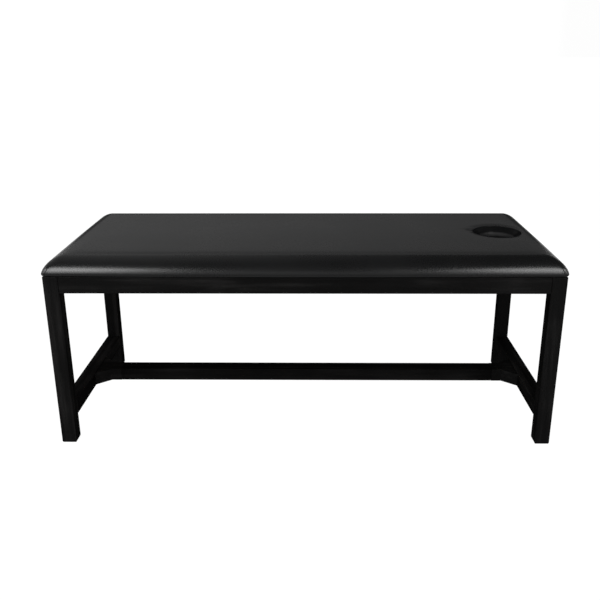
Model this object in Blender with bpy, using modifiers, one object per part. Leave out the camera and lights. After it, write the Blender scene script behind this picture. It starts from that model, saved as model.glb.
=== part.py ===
"""A stationary massage table: a timber frame with four square legs and an H of low
stretchers, and a padded top on a plywood board with a round face hole near its right end.

Metres. X runs along the table, the face hole at +X; Y runs across it, the front at -Y; Z is up
from the floor."""

import math

import bmesh
import bpy
from mathutils import Matrix, Vector

# Fits between pieces
CLEARANCE = 0.0003
SOFT_CLEARANCE = 0.0005
CUT_OVERRUN = 0.004
WELD_DISTANCE = 0.00001

# Frame
FRAME_LENGTH = 1.854
FRAME_WIDTH = 0.760
FRAME_HEIGHT = 0.663
LEG_SIDE = 0.055
LEG_EDGE_RADIUS = 0.003
RAIL_EDGE_RADIUS = 0.002
APRON_HEIGHT = 0.062
APRON_THICKNESS = 0.022

# Foot pads
PAD_THICKNESS = 0.002
PAD_SETBACK = 0.002
PAD_EDGE_RADIUS = 0.001

# Low stretchers
END_STRETCHER_UNDERSIDE = 0.097
END_STRETCHER_HEIGHT = 0.056
TENON_LENGTH = 0.030
TENON_THICKNESS = 0.018
TENON_HEIGHT = 0.036
LONG_STRETCHER_WIDTH = 0.070
LONG_STRETCHER_HEIGHT = 0.050

# Gussets: flared against the end stretcher, then as wide as the long stretcher
GUSSET_LENGTH = 0.097
GUSSET_FLARE_LENGTH = 0.056
GUSSET_FLARE_WIDTH = 0.047

# Stretcher bolts, their cross nuts and the dowels beside them
BOLT_RADIUS = 0.004
BOLT_END_CHAMFER = 0.0008
BOLT_HEAD_WIDTH = 0.0045
BOLT_HEAD_HEIGHT = 0.003
BOLT_HEAD_CROWN = 0.0008
COUNTERBORE_ROOM = 0.0015
COUNTERBORE_DEPTH = 0.005
BOLT_PAST_NUT = 0.006
BARREL_NUT_SETBACK = 0.036
BARREL_NUT_WALL = 0.003
BARREL_NUT_LENGTH = 0.026
DOWEL_RADIUS = 0.004
DOWEL_LENGTH = 0.038
DOWEL_CHAMFER = 0.001
DOWEL_END_ROOM = 0.001
DOWEL_OFFSET = 0.022

# Diagonal blocks behind the legs, with a hanger bolt through each and a screw to each apron
BLOCK_THICKNESS = 0.028
BLOCK_HEIGHT = 0.045
BLOCK_GAP = 0.006
BLOCK_SCREW_SEAT = 0.010
HANGER_DEPTH = 0.036
HANGER_END = 0.004
NUT_WALL = 0.0035
NUT_HEIGHT = 0.0065
NUT_FLANGE_WIDTH = 0.0035
NUT_FLANGE_HEIGHT = 0.002

# Cross bearers under the board, and the screws up through them
BEARER_SHARES = (-0.25, 0.0, 0.25)
BEARER_WIDTH = 0.070
BEARER_THICKNESS = 0.022
HOUSING_DEPTH = 0.008
SCREW_RADIUS = 0.0022
SCREW_HEAD_WIDTH = 0.002
SCREW_HEAD_HEIGHT = 0.0026
SCREW_COVER = 0.0035
SCREW_TIP = 0.004
SCREW_INSET = 0.120

# Board
BOARD_THICKNESS = 0.015
BOARD_SETBACK = 0.018
BOARD_EDGE_RADIUS = 0.002

# Padding: its height over the frame, its flat top's rolled edges and its lower lip
CUSHION_HEIGHT = 0.070
CUSHION_CROWN = 0.002
END_OVERHANG = 0.003
SIDE_OVERHANG = 0.004
SIDE_BULGE = 0.008
END_ROLL = 0.081
SIDE_ROLL = 0.060
LIP_HEIGHT = 0.010
LIP_TUCK = 0.009
VINYL_THICKNESS = 0.0015
VINYL_TURN_UNDER = 0.035

# Face hole: its centre from the frame's end, its throat and its rolled rim
FACE_HOLE_SETBACK = 0.170
FACE_HOLE_RADIUS = 0.072
FACE_RIM_WIDTH = 0.0225
FACE_RIM_DEPTH = 0.030
FACE_LINING_TURN_UNDER = 0.022

# Powers of the curves, with no unit
ROLL_POWER = 1.7
CORNER_POWERS = (4.0, 14.0)
BULGE_POWERS = (2.4, 1.5)

# Angle between faces that makes an edge sharp
SHARP_ANGLE = math.radians(32)

# Counts
ROLL_RINGS = 5
LIP_RINGS = 2
FLAT_STEPS_ALONG = 8
FLAT_STEPS_ACROSS = 4
RIM_STEPS = 5
HOLE_STEPS = 36
BOLT_STEPS = 16
SCREW_STEPS = 12
BEVEL_SEGMENTS = 2

# Derived sizes and places
BOLT_HOLE_RADIUS = BOLT_RADIUS + CLEARANCE
BOLT_HEAD_RADIUS = BOLT_RADIUS + BOLT_HEAD_WIDTH
BARREL_NUT_RADIUS = BOLT_HOLE_RADIUS + BARREL_NUT_WALL
NUT_RADIUS = BOLT_HOLE_RADIUS + NUT_WALL
SCREW_HEAD_RADIUS = SCREW_RADIUS + SCREW_HEAD_WIDTH
HALF_LENGTH = FRAME_LENGTH / 2
HALF_WIDTH = FRAME_WIDTH / 2
LEG_INNER_X = HALF_LENGTH - LEG_SIDE
LEG_INNER_Y = HALF_WIDTH - LEG_SIDE
LEG_CENTRE_X = HALF_LENGTH - LEG_SIDE / 2
APRON_UNDERSIDE = FRAME_HEIGHT - APRON_HEIGHT
APRON_MIDDLE = FRAME_HEIGHT - APRON_HEIGHT / 2
APRON_INNER_X = HALF_LENGTH - APRON_THICKNESS
APRON_INNER_Y = HALF_WIDTH - APRON_THICKNESS
STRETCHER_MIDDLE = END_STRETCHER_UNDERSIDE + END_STRETCHER_HEIGHT / 2
GUSSET_FACE_X = LEG_INNER_X - CLEARANCE
SEAM_X = GUSSET_FACE_X - GUSSET_LENGTH
CUSHION_UNDERSIDE = FRAME_HEIGHT + CLEARANCE
CUSHION_TOP = FRAME_HEIGHT + CUSHION_HEIGHT
BOARD_UNDERSIDE = CUSHION_UNDERSIDE + VINYL_THICKNESS + CLEARANCE
BOARD_TOP = BOARD_UNDERSIDE + BOARD_THICKNESS
BEARER_TOP = BOARD_UNDERSIDE - CLEARANCE
FLAT_X = HALF_LENGTH + END_OVERHANG - END_ROLL
FLAT_Y = HALF_WIDTH + SIDE_OVERHANG - SIDE_ROLL
LIP_LEVEL = CUSHION_UNDERSIDE + LIP_HEIGHT
FACE_HOLE_X = HALF_LENGTH - FACE_HOLE_SETBACK
FACE_RIM_RADIUS = FACE_HOLE_RADIUS + FACE_RIM_WIDTH
FACE_RIM_TOP = CUSHION_TOP + CUSHION_CROWN
VINYL_EDGE_Y = HALF_WIDTH + SIDE_OVERHANG - LIP_TUCK - VINYL_TURN_UNDER

SIDES = {"left": -1, "right": 1}
ENDS = {"front": -1, "rear": 1}


def clear_scene():
    for obj in list(bpy.data.objects):
        bpy.data.objects.remove(obj)


def add_collection(name, hidden=False):
    collection = bpy.data.collections.new(name)
    collection.hide_render = hidden
    bpy.context.scene.collection.children.link(collection)
    return collection


def principled(name, color, roughness, metallic=0.0):
    material = bpy.data.materials.new(name)
    material.use_nodes = True
    shader = material.node_tree.nodes["Principled BSDF"]
    shader.inputs["Base Color"].default_value = (*color, 1.0)
    shader.inputs["Roughness"].default_value = roughness
    shader.inputs["Metallic"].default_value = metallic
    return material


def black_timber():
    return principled("black_timber", (0.012, 0.011, 0.011), 0.55)


def black_vinyl():
    return principled("black_vinyl", (0.018, 0.018, 0.020), 0.38)


def cream_foam():
    return principled("cream_foam", (0.80, 0.74, 0.55), 0.95)


def birch_plywood():
    return principled("birch_plywood", (0.62, 0.46, 0.29), 0.65)


def beech():
    return principled("beech", (0.66, 0.46, 0.28), 0.60)


def black_steel():
    return principled("black_steel", (0.05, 0.05, 0.05), 0.40, 1.0)


def zinc_steel():
    return principled("zinc_steel", (0.62, 0.63, 0.65), 0.35, 1.0)


def black_felt():
    return principled("black_felt", (0.015, 0.015, 0.015), 0.95)


def add_object(name, mesh, material):
    """A sub-part where there is a material, and otherwise a hidden cutter."""
    obj = bpy.data.objects.new(name, mesh)
    if material:
        mesh.materials.append(material)
        parts.objects.link(obj)
    else:
        obj.hide_render = True
        obj.display_type = "WIRE"
        cutters.objects.link(obj)
    return obj


def mesh_from(name, bm):
    mesh = bpy.data.meshes.new(name)
    bm.to_mesh(mesh)
    bm.free()
    return mesh


def add_box(name, low, high, material=None, edge_radius=0.0):
    """A box between two corners, with rounded edges if it has an edge radius."""
    size = [b - a for a, b in zip(low, high)]
    bm = bmesh.new()
    bmesh.ops.create_cube(bm, size=1.0, matrix=Matrix.Diagonal((*size, 1.0)))
    obj = add_object(name, mesh_from(name, bm), material)
    obj.location = [(a + b) / 2 for a, b in zip(low, high)]
    if edge_radius:
        bevel = obj.modifiers.new("rounded_edges", "BEVEL")
        bevel.width = edge_radius
        bevel.segments = BEVEL_SEGMENTS
        bevel.limit_method = "ANGLE"
    return obj


def add_turned(name, profile, material=None, steps=BOLT_STEPS, closed=False):
    """A (radius, height) profile, from its top down its outer side, turned about Z."""
    mesh = bpy.data.meshes.new(name)
    edges = [(i, i + 1) for i in range(len(profile) - 1)]
    if closed:
        edges.append((len(profile) - 1, 0))
    mesh.from_pydata([(radius, 0.0, height) for radius, height in profile], edges, [])
    obj = add_object(name, mesh, material)
    turn = obj.modifiers.new("turned", "SCREW")
    turn.steps = turn.render_steps = steps
    turn.use_merge_vertices = True
    turn.merge_threshold = WELD_DISTANCE
    turn.use_smooth_shade = False
    return obj


def add_plate(name, outline, thickness, material):
    """A flat outline with a thickness, centred on its own plane."""
    curve = bpy.data.curves.new(name, "CURVE")
    curve.dimensions = "2D"
    curve.fill_mode = "BOTH"
    curve.extrude = thickness / 2
    spline = curve.splines.new("POLY")
    spline.points.add(len(outline) - 1)
    for point, (x, y) in zip(spline.points, outline):
        point.co = (x, y, 0.0, 1.0)
    spline.use_cyclic_u = True
    flat = bpy.data.objects.new(name + "_outline", curve)
    parts.objects.link(flat)
    evaluated = flat.evaluated_get(bpy.context.evaluated_depsgraph_get())
    mesh = bpy.data.meshes.new_from_object(evaluated)
    bm = bmesh.new()
    bm.from_mesh(mesh)
    bmesh.ops.remove_doubles(bm, verts=bm.verts, dist=WELD_DISTANCE)
    bmesh.ops.recalc_face_normals(bm, faces=bm.faces)
    bm.to_mesh(mesh)
    bm.free()
    mesh.name = name
    mesh.materials.clear()
    bpy.data.objects.remove(flat)
    return add_object(name, mesh, material)


def combine(target, other, operation="DIFFERENCE"):
    modifier = target.modifiers.new(other.name, "BOOLEAN")
    modifier.operation = operation
    modifier.object = other


def add_rod(name, radius, length, material=None, chamfer=0.0, steps=BOLT_STEPS):
    """A round rod centred on its own origin, along Z."""
    half = length / 2
    profile = [(0.0, half), (radius, half - chamfer), (radius, chamfer - half), (0.0, -half)]
    if chamfer:
        profile.insert(1, (radius - chamfer, half))
        profile.insert(-1, (radius - chamfer, -half))
    return add_turned(name, profile, material, steps)


def lay(obj, place, direction):
    """Places a piece with its own Z along a direction."""
    obj.rotation_euler = Vector(direction).to_track_quat("Z", "Y").to_euler()
    obj.location = place


def hole_along_x(target, name, radius, start, stop, place_y, height):
    """A round hole along X between two places."""
    hole = add_rod(name, radius, abs(stop - start))
    lay(hole, ((start + stop) / 2, place_y, height), (1, 0, 0))
    combine(target, hole)


def diagonal_place(side, end, distance):
    """A place on a leg's level diagonal, at a distance inwards from the leg's inner corner."""
    step = distance / math.sqrt(2)
    return (side * (LEG_INNER_X - step), end * (LEG_INNER_Y - step), APRON_MIDDLE)


def add_leg(side_name, end_name, material):
    side, end = SIDES[side_name], ENDS[end_name]
    name = f"leg_{end_name}_{side_name}"
    near = (side * LEG_INNER_X, end * LEG_INNER_Y)
    far = (side * HALF_LENGTH, end * HALF_WIDTH)
    low = (min(near[0], far[0]), min(near[1], far[1]), PAD_THICKNESS + CLEARANCE)
    high = (max(near[0], far[0]), max(near[1], far[1]), FRAME_HEIGHT)
    leg = add_box(name, low, high, material, LEG_EDGE_RADIUS)

    mortise_face = end * (LEG_INNER_Y - CUT_OVERRUN)
    mortise_bottom = end * (LEG_INNER_Y + TENON_LENGTH + CLEARANCE)
    half_thickness = TENON_THICKNESS / 2 + CLEARANCE
    half_height = TENON_HEIGHT / 2 + CLEARANCE
    mortise = add_box(
        name + "_mortise",
        (
            side * LEG_CENTRE_X - half_thickness,
            min(mortise_face, mortise_bottom),
            STRETCHER_MIDDLE - half_height,
        ),
        (
            side * LEG_CENTRE_X + half_thickness,
            max(mortise_face, mortise_bottom),
            STRETCHER_MIDDLE + half_height,
        ),
    )
    combine(leg, mortise)

    pilot_length = HANGER_DEPTH + CLEARANCE + CUT_OVERRUN
    pilot = add_rod(name + "_pilot", BOLT_HOLE_RADIUS, pilot_length)
    middle = (CUT_OVERRUN - HANGER_DEPTH - CLEARANCE) / 2
    lay(pilot, diagonal_place(side, end, middle), (side, end, 0))
    combine(leg, pilot)


def add_foot_pad(side_name, end_name, material):
    side, end = SIDES[side_name], ENDS[end_name]
    half = LEG_SIDE / 2 - PAD_SETBACK
    x = side * LEG_CENTRE_X
    y = end * (HALF_WIDTH - LEG_SIDE / 2)
    low = (x - half, y - half, 0.0)
    high = (x + half, y + half, PAD_THICKNESS)
    add_box(f"foot_pad_{end_name}_{side_name}", low, high, material, PAD_EDGE_RADIUS)


def bearer_places():
    return {
        name: FRAME_LENGTH * share
        for name, share in zip(("left", "middle", "right"), BEARER_SHARES)
    }


def add_long_apron(end_name, material):
    end = ENDS[end_name]
    name = f"apron_{end_name}"
    reach = LEG_INNER_X - CLEARANCE
    faces = sorted((end * APRON_INNER_Y, end * HALF_WIDTH))
    apron = add_box(
        name,
        (-reach, faces[0], APRON_UNDERSIDE),
        (reach, faces[1], FRAME_HEIGHT),
        material,
        RAIL_EDGE_RADIUS,
    )
    ends = sorted((end * (APRON_INNER_Y - CUT_OVERRUN), end * (APRON_INNER_Y + HOUSING_DEPTH)))
    for bearer, x in bearer_places().items():
        half = BEARER_WIDTH / 2 + CLEARANCE
        housing = add_box(
            f"{name}_housing_{bearer}",
            (x - half, ends[0], BEARER_TOP - BEARER_THICKNESS - CLEARANCE),
            (x + half, ends[1], FRAME_HEIGHT + CUT_OVERRUN),
        )
        combine(apron, housing)
    for side_name in SIDES:
        cut_block_pilot(apron, side_name, end_name, "long")


def add_end_apron(side_name, material):
    side = SIDES[side_name]
    reach = LEG_INNER_Y - CLEARANCE
    faces = sorted((side * APRON_INNER_X, side * HALF_LENGTH))
    apron = add_box(
        f"apron_{side_name}",
        (faces[0], -reach, APRON_UNDERSIDE),
        (faces[1], reach, FRAME_HEIGHT),
        material,
        RAIL_EDGE_RADIUS,
    )
    for end_name in ENDS:
        cut_block_pilot(apron, side_name, end_name, "end")


def add_end_stretcher(side_name, material):
    """A low rail flush with its legs, with a tenon at each end and a counterbored bolt hole."""
    side = SIDES[side_name]
    name = f"end_stretcher_{side_name}"
    faces = sorted((side * LEG_INNER_X, side * HALF_LENGTH))
    reach = LEG_INNER_Y - CLEARANCE
    stretcher = add_box(
        name,
        (faces[0], -reach, END_STRETCHER_UNDERSIDE),
        (faces[1], reach, END_STRETCHER_UNDERSIDE + END_STRETCHER_HEIGHT),
        material,
        RAIL_EDGE_RADIUS,
    )
    middle = side * LEG_CENTRE_X
    reach = LEG_INNER_Y + TENON_LENGTH
    tenons = add_box(
        name + "_tenons",
        (middle - TENON_THICKNESS / 2, -reach, STRETCHER_MIDDLE - TENON_HEIGHT / 2),
        (middle + TENON_THICKNESS / 2, reach, STRETCHER_MIDDLE + TENON_HEIGHT / 2),
    )
    combine(stretcher, tenons, "UNION")
    outside = side * (HALF_LENGTH + CUT_OVERRUN)
    inside = side * (LEG_INNER_X - CUT_OVERRUN)
    seat = side * (HALF_LENGTH - COUNTERBORE_DEPTH)
    hole_along_x(
        stretcher, name + "_bolt_hole", BOLT_HOLE_RADIUS, inside, outside, 0.0, STRETCHER_MIDDLE
    )
    counterbore = BOLT_HEAD_RADIUS + COUNTERBORE_ROOM
    hole_along_x(
        stretcher, name + "_counterbore", counterbore, seat, outside, 0.0, STRETCHER_MIDDLE
    )


def add_gusset(side_name, material):
    """A block that flares from the long stretcher's width out along the end stretcher."""
    side = SIDES[side_name]
    name = f"gusset_{side_name}"
    narrow = LONG_STRETCHER_WIDTH / 2
    wide = narrow + GUSSET_FLARE_WIDTH
    root, seam = side * GUSSET_FACE_X, side * (SEAM_X + CLEARANCE)
    neck = side * (GUSSET_FACE_X - GUSSET_FLARE_LENGTH)
    half = [(root, wide), (neck, narrow), (seam, narrow)]
    outline = half + [(x, -y) for x, y in reversed(half)]
    gusset = add_plate(name, outline, LONG_STRETCHER_HEIGHT, material)
    gusset.location = (0.0, 0.0, STRETCHER_MIDDLE)
    outside = side * (GUSSET_FACE_X + CUT_OVERRUN)
    past_seam = side * (SEAM_X - CUT_OVERRUN)
    hole_along_x(
        gusset, name + "_bolt_hole", BOLT_HOLE_RADIUS, outside, past_seam, 0.0, STRETCHER_MIDDLE
    )
    bottom = side * (SEAM_X + DOWEL_LENGTH / 2 + DOWEL_END_ROOM)
    for row in (-1, 1):
        hole_along_x(
            gusset,
            f"{name}_dowel_hole_{row}",
            DOWEL_RADIUS + CLEARANCE,
            bottom,
            past_seam,
            row * DOWEL_OFFSET,
            STRETCHER_MIDDLE,
        )


def add_long_stretcher(material):
    half_width = LONG_STRETCHER_WIDTH / 2
    half_height = LONG_STRETCHER_HEIGHT / 2
    reach = SEAM_X - CLEARANCE
    stretcher = add_box(
        "long_stretcher",
        (-reach, -half_width, STRETCHER_MIDDLE - half_height),
        (reach, half_width, STRETCHER_MIDDLE + half_height),
        material,
        RAIL_EDGE_RADIUS,
    )
    for side_name, side in SIDES.items():
        name = f"long_stretcher_{side_name}"
        past_seam = side * (SEAM_X + CUT_OVERRUN)
        bottom = side * (SEAM_X - BARREL_NUT_SETBACK - BARREL_NUT_RADIUS - BOLT_PAST_NUT)
        hole_along_x(
            stretcher, name + "_bolt_hole", BOLT_HOLE_RADIUS, bottom, past_seam, 0.0, STRETCHER_MIDDLE
        )
        bottom = side * (SEAM_X - DOWEL_LENGTH / 2 - DOWEL_END_ROOM)
        for row in (-1, 1):
            hole_along_x(
                stretcher,
                f"{name}_dowel_hole_{row}",
                DOWEL_RADIUS + CLEARANCE,
                bottom,
                past_seam,
                row * DOWEL_OFFSET,
                STRETCHER_MIDDLE,
            )
        top = STRETCHER_MIDDLE + BARREL_NUT_LENGTH / 2 + CLEARANCE
        opening = STRETCHER_MIDDLE - half_height - CUT_OVERRUN
        nut_hole = add_rod(name + "_nut_hole", BARREL_NUT_RADIUS + CLEARANCE, top - opening)
        nut_hole.location = (side * (SEAM_X - BARREL_NUT_SETBACK), 0.0, (top + opening) / 2)
        combine(stretcher, nut_hole)


def add_stretcher_bolt(side_name, material):
    """A flat-headed bolt from the end stretcher's outer side into the cross nut."""
    side = SIDES[side_name]
    seat = HALF_LENGTH - COUNTERBORE_DEPTH + CLEARANCE
    tip = SEAM_X - BARREL_NUT_SETBACK - BARREL_NUT_RADIUS - BOLT_PAST_NUT / 2
    length = seat - tip
    profile = [
        (0.0, BOLT_HEAD_HEIGHT),
        (BOLT_HEAD_RADIUS - BOLT_HEAD_CROWN, BOLT_HEAD_HEIGHT),
        (BOLT_HEAD_RADIUS, BOLT_HEAD_HEIGHT - BOLT_HEAD_CROWN),
        (BOLT_HEAD_RADIUS, 0.0),
        (BOLT_RADIUS, 0.0),
        (BOLT_RADIUS, BOLT_END_CHAMFER - length),
        (BOLT_RADIUS - BOLT_END_CHAMFER, -length),
        (0.0, -length),
    ]
    bolt = add_turned(f"stretcher_bolt_{side_name}", profile, material)
    lay(bolt, (side * seat, 0.0, STRETCHER_MIDDLE), (side, 0, 0))


def add_barrel_nut(side_name, material):
    side = SIDES[side_name]
    name = f"barrel_nut_{side_name}"
    nut = add_rod(name, BARREL_NUT_RADIUS, BARREL_NUT_LENGTH, material, BOLT_END_CHAMFER)
    x = side * (SEAM_X - BARREL_NUT_SETBACK)
    nut.location = (x, 0.0, STRETCHER_MIDDLE)
    reach = BARREL_NUT_RADIUS + CUT_OVERRUN
    hole_along_x(nut, name + "_hole", BOLT_HOLE_RADIUS, x - reach, x + reach, 0.0, STRETCHER_MIDDLE)


def add_seam_dowels(side_name, material):
    side = SIDES[side_name]
    for end_name, end in ENDS.items():
        dowel = add_rod(
            f"seam_dowel_{end_name}_{side_name}", DOWEL_RADIUS, DOWEL_LENGTH, material, DOWEL_CHAMFER
        )
        lay(dowel, (side * SEAM_X, end * DOWEL_OFFSET, STRETCHER_MIDDLE), (1, 0, 0))


def block_corners(side, end, distance):
    """Where a diagonal line, that far in from a leg's inner corner, meets the two aprons."""
    rail_x = APRON_INNER_X - CLEARANCE
    rail_y = APRON_INNER_Y - CLEARANCE
    total = LEG_INNER_X + LEG_INNER_Y - distance * math.sqrt(2)
    return [(side * (total - rail_y), end * rail_y), (side * rail_x, end * (total - rail_x))]


def block_screw(side_name, end_name, apron):
    """The place of a block screw's head, and its direction, into the long or the end apron."""
    side, end = SIDES[side_name], ENDS[end_name]
    long_seat, end_seat = block_corners(side, end, BLOCK_GAP + BLOCK_THICKNESS / 2)
    if apron == "long":
        return (long_seat[0], long_seat[1] - end * BLOCK_SCREW_SEAT, APRON_MIDDLE), (0, end, 0)
    return (end_seat[0] - side * BLOCK_SCREW_SEAT, end_seat[1], APRON_MIDDLE), (side, 0, 0)


def add_corner_block(side_name, end_name, material):
    """A block set diagonally across a corner, its ends mitred against the two aprons."""
    side, end = SIDES[side_name], ENDS[end_name]
    name = f"corner_block_{end_name}_{side_name}"
    near = block_corners(side, end, BLOCK_GAP)
    far = block_corners(side, end, BLOCK_GAP + BLOCK_THICKNESS)
    block = add_plate(name, near + far[::-1], BLOCK_HEIGHT, material)
    block.location = (0.0, 0.0, APRON_MIDDLE)
    hole = add_rod(name + "_hole", BOLT_HOLE_RADIUS, BLOCK_THICKNESS + 2 * CUT_OVERRUN)
    lay(hole, diagonal_place(side, end, BLOCK_GAP + BLOCK_THICKNESS / 2), (side, end, 0))
    combine(block, hole)
    for apron in ("long", "end"):
        place, direction = block_screw(side_name, end_name, apron)
        cut_screw_hole(block, apron, BLOCK_SCREW_SEAT, BLOCK_THICKNESS, place, direction)


def cut_block_pilot(target, side_name, end_name, apron):
    place, direction = block_screw(side_name, end_name, apron)
    name = f"{end_name}_{side_name}"
    cut_screw_pilot(target, name, BLOCK_SCREW_SEAT, APRON_THICKNESS, place, direction)


def add_block_screws(side_name, end_name, material):
    for apron in ("long", "end"):
        name = f"block_screw_{end_name}_{side_name}_{apron}"
        profile = screw_profile(BLOCK_SCREW_SEAT, APRON_THICKNESS)
        screw = add_turned(name, profile, material, SCREW_STEPS)
        lay(screw, *block_screw(side_name, end_name, apron))


def nut_seat():
    """The distance of a hanger nut's seat, inwards from the leg's inner corner."""
    return BLOCK_GAP + BLOCK_THICKNESS + CLEARANCE


def add_hanger_bolt(side_name, end_name, material):
    side, end = SIDES[side_name], ENDS[end_name]
    inner = nut_seat() + NUT_FLANGE_HEIGHT + NUT_HEIGHT + HANGER_END
    bolt = add_rod(
        f"hanger_bolt_{end_name}_{side_name}",
        BOLT_RADIUS,
        inner + HANGER_DEPTH,
        material,
        BOLT_END_CHAMFER,
    )
    lay(bolt, diagonal_place(side, end, (inner - HANGER_DEPTH) / 2), (side, end, 0))


def add_hanger_nut(side_name, end_name, material):
    """A hexagon nut on a round flange."""
    side, end = SIDES[side_name], ENDS[end_name]
    name = f"hanger_nut_{end_name}_{side_name}"
    height = NUT_FLANGE_HEIGHT + NUT_HEIGHT
    place = diagonal_place(side, end, nut_seat() + height / 2)
    outwards = (side, end, 0)
    nut = add_rod(name, NUT_RADIUS, height, material, steps=6)
    lay(nut, place, outwards)
    flange = add_rod(name + "_flange", NUT_RADIUS + NUT_FLANGE_WIDTH, NUT_FLANGE_HEIGHT)
    lay(flange, diagonal_place(side, end, nut_seat() + NUT_FLANGE_HEIGHT / 2), outwards)
    combine(nut, flange, "UNION")
    hole = add_rod(name + "_hole", BOLT_HOLE_RADIUS, height + 2 * CUT_OVERRUN)
    lay(hole, place, outwards)
    combine(nut, hole)


def screw_profile(held, behind):
    """A countersunk screw through what it holds, its head at zero, into the piece behind."""
    reach = held + behind - SCREW_COVER
    return [
        (0.0, reach),
        (SCREW_RADIUS, reach - SCREW_TIP),
        (SCREW_RADIUS, SCREW_HEAD_HEIGHT),
        (SCREW_HEAD_RADIUS, 0.0),
        (0.0, 0.0),
    ]


def cut_screw_hole(target, name, held, above, place, direction):
    """A countersunk hole through what a screw holds, open to a height above its head."""
    shank = SCREW_RADIUS + CLEARANCE
    head = SCREW_HEAD_RADIUS + CLEARANCE
    profile = [
        (0.0, held + CUT_OVERRUN),
        (shank, held + CUT_OVERRUN),
        (shank, SCREW_HEAD_HEIGHT),
        (head, 0.0),
        (head, -above),
        (0.0, -above),
    ]
    hole = add_turned(f"{target.name}_hole_{name}", profile, steps=SCREW_STEPS)
    lay(hole, place, direction)
    combine(target, hole)


def cut_screw_pilot(target, name, held, behind, place, direction):
    """A blind hole for a screw in the piece behind the one that it holds."""
    reach = held + behind - SCREW_COVER + CLEARANCE
    start = held - CUT_OVERRUN
    radius = SCREW_RADIUS + CLEARANCE
    profile = [(0.0, reach), (radius, reach), (radius, start), (0.0, start)]
    pilot = add_turned(f"{target.name}_pilot_{name}", profile, steps=SCREW_STEPS)
    lay(pilot, place, direction)
    combine(target, pilot)


def deck_screw_places(bearer):
    """The places of a bearer's screw heads, by end name."""
    x = bearer_places()[bearer]
    reach = HALF_WIDTH - SCREW_INSET
    return {name: (x, end * reach, BEARER_TOP - BEARER_THICKNESS) for name, end in ENDS.items()}


def add_deck_screws(material):
    for bearer in bearer_places():
        for end_name, place in deck_screw_places(bearer).items():
            profile = screw_profile(BEARER_THICKNESS, BOARD_THICKNESS)
            screw = add_turned(f"deck_screw_{end_name}_{bearer}", profile, material, SCREW_STEPS)
            lay(screw, place, (0, 0, 1))


def add_bearers(material):
    """Rails that touch the board, let down at their ends where the vinyl is turned under."""
    reach = APRON_INNER_Y + HOUSING_DEPTH - CLEARANCE
    for name, x in bearer_places().items():
        bearer = add_box(
            f"bearer_{name}",
            (x - BEARER_WIDTH / 2, -reach, BEARER_TOP - BEARER_THICKNESS),
            (x + BEARER_WIDTH / 2, reach, BEARER_TOP),
            material,
        )
        for end_name, end in ENDS.items():
            ends = sorted((end * (VINYL_EDGE_Y - CLEARANCE), end * (reach + CUT_OVERRUN)))
            step = add_box(
                f"bearer_{name}_step_{end_name}",
                (x - BEARER_WIDTH / 2 - CUT_OVERRUN, ends[0], FRAME_HEIGHT),
                (x + BEARER_WIDTH / 2 + CUT_OVERRUN, ends[1], BEARER_TOP + CUT_OVERRUN),
            )
            combine(bearer, step)
        for end_name, place in deck_screw_places(name).items():
            cut_screw_hole(bearer, end_name, BEARER_THICKNESS, CUT_OVERRUN, place, (0, 0, 1))


def board_reach():
    return (
        HALF_LENGTH + END_OVERHANG - BOARD_SETBACK,
        HALF_WIDTH + SIDE_OVERHANG - BOARD_SETBACK,
    )


def add_deck_board(material):
    reach_x, reach_y = board_reach()
    board = add_box(
        "deck_board",
        (-reach_x, -reach_y, BOARD_UNDERSIDE),
        (reach_x, reach_y, BOARD_TOP),
        material,
        BOARD_EDGE_RADIUS,
    )
    throat = FACE_HOLE_RADIUS + VINYL_THICKNESS + SOFT_CLEARANCE
    hole = add_rod(
        "deck_board_face_hole", throat, BOARD_THICKNESS + 2 * CUT_OVERRUN, steps=HOLE_STEPS
    )
    hole.location = (FACE_HOLE_X, 0.0, (BOARD_UNDERSIDE + BOARD_TOP) / 2)
    combine(board, hole)
    for bearer in bearer_places():
        for end_name, place in deck_screw_places(bearer).items():
            name = f"{end_name}_{bearer}"
            cut_screw_pilot(board, name, BEARER_THICKNESS, BOARD_THICKNESS, place, (0, 0, 1))


def edge_rings(shrink):
    """Rings outwards from the flat top: (roll share, inset, rise share, drop, corner power).

    The roll is a quarter of a superellipse, and the lip under it a quarter of an ellipse.
    The corners are round near the top and nearly square where the roll is widest."""
    first, last = CORNER_POWERS
    rings = [(0.0, 0.0, 1.0, 0.0, first)]
    for step in range(1, ROLL_RINGS + 1):
        angle = math.pi / 2 * step / ROLL_RINGS
        roll_share = math.sin(angle) ** (2 / ROLL_POWER)
        rise_share = max(0.0, math.cos(angle)) ** (2 / ROLL_POWER)
        corner_power = first + (last - first) * (step / ROLL_RINGS) ** 3
        rings.append((roll_share, 0.0, rise_share, 0.0, corner_power))
    for step in range(1, LIP_RINGS + 1):
        angle = math.pi / 2 * step / LIP_RINGS
        inset = LIP_TUCK * (1 - math.cos(angle))
        rings.append((1.0, inset, 0.0, (LIP_HEIGHT - shrink) * math.sin(angle), last))
    return rings


def side_roll_at(x):
    """The long sides' roll: widest at mid-length, drawn in towards the corners."""
    share = min(1.0, abs(x) / FLAT_X)
    inner, outer = BULGE_POWERS
    return SIDE_ROLL + SIDE_BULGE * (1 - share**inner) ** outer


def split_index(index, flat_steps, ring_count):
    """A grid line's ring number, signed, and its share of the flat top."""
    if index < ring_count:
        return index - ring_count, -1.0
    if index > ring_count + flat_steps:
        return index - ring_count - flat_steps, 1.0
    return 0, 2 * (index - ring_count) / flat_steps - 1


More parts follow.
